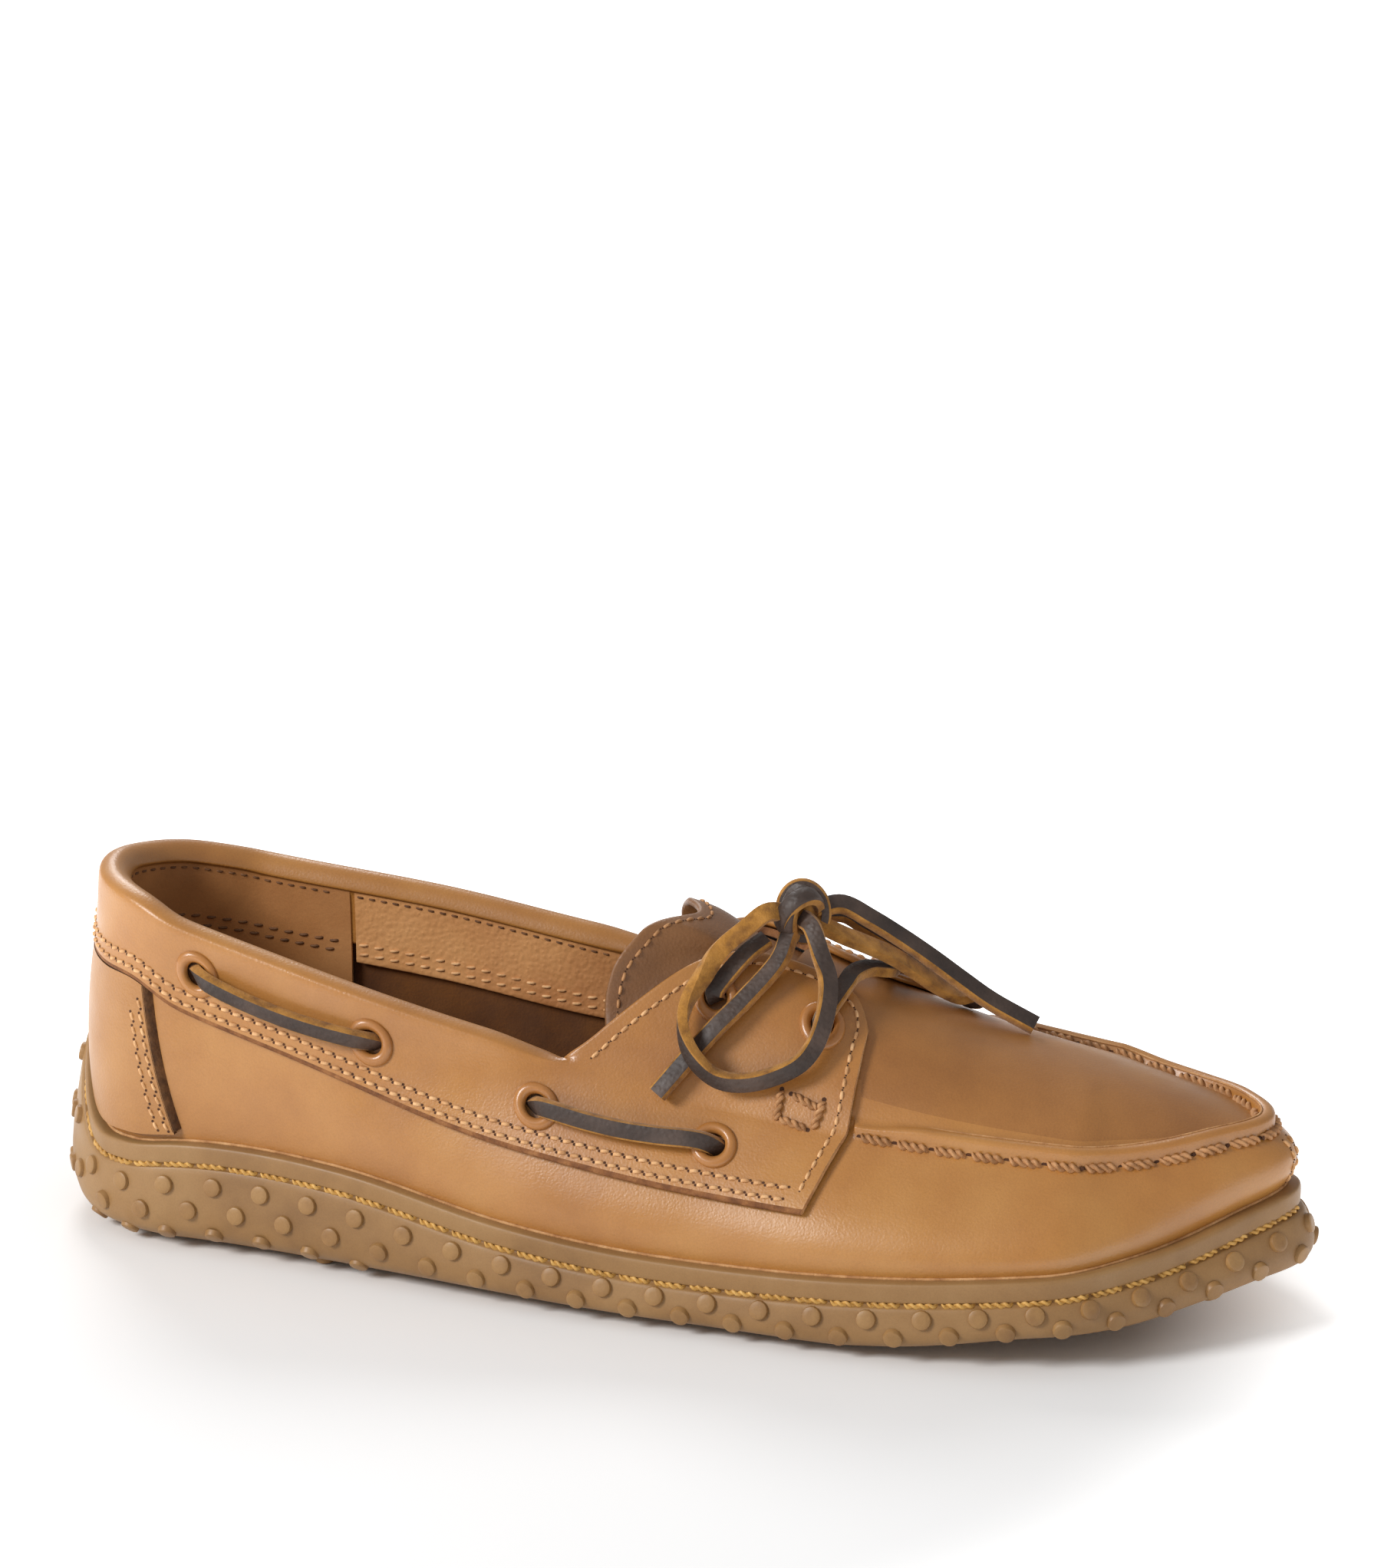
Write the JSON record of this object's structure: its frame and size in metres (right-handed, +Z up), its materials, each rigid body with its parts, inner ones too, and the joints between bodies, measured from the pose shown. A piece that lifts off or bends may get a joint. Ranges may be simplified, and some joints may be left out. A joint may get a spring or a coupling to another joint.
{
  "type": "boat shoe",
  "caption": "Low leather boat shoe with a moc-toe apron, a collar laced through metal eyelets, a rawhide bow and a nubbed gum rubber cup sole",
  "frame": {"origin": "middle of the sole's plan, on the plane under the flat tops of the bottom nubs", "axes": "+X to the toe, +Y to the inner (medial) side, +Z up"},
  "size_m": [0.2658, 0.0934, 0.0845],
  "materials": {
    "leather": "smooth tan leather with a fine grain and a low sheen",
    "counter_leather": "smooth tan leather with a dark raw edge",
    "tongue_leather": "redder brown leather with a soft rolled edge",
    "rubber": "matt gum rubber, brown, slightly translucent at the nubs",
    "lining": "dull brown suede and smooth lining leather",
    "eyelet_paint": "tan paint on rolled brass",
    "rawhide": "waxed dark brown rawhide with ochre flesh sides"
  },
  "bodies": {
    "root": {"outsole": "rubber", "upper": "leather", "collar_band": "leather", "heel_counter": "counter_leather", "tongue": "tongue_leather", "insole": "lining", "eyelet_lateral_collar_1": "eyelet_paint", "eyelet_lateral_collar_2": "eyelet_paint", "eyelet_lateral_collar_3": "eyelet_paint", "eyelet_lateral_collar_4": "eyelet_paint", "eyelet_lateral_wing_1": "eyelet_paint", "eyelet_lateral_wing_2": "eyelet_paint", "eyelet_medial_collar_1": "eyelet_paint", "eyelet_medial_collar_2": "eyelet_paint", "eyelet_medial_collar_3": "eyelet_paint", "eyelet_medial_collar_4": "eyelet_paint", "eyelet_medial_wing_1": "eyelet_paint", "eyelet_medial_wing_2": "eyelet_paint", "lace_side_lateral_1": "rawhide", "lace_side_lateral_2": "rawhide", "lace_side_medial_1": "rawhide", "lace_side_medial_2": "rawhide", "lace_riser_near": "rawhide", "lace_riser_far": "rawhide", "lace_bar_front": "rawhide", "lace_knot": "rawhide", "lace_loop_near": "rawhide", "lace_loop_far": "rawhide", "lace_end_near": "rawhide", "lace_end_far": "rawhide"}
  },
  "joints": []
}
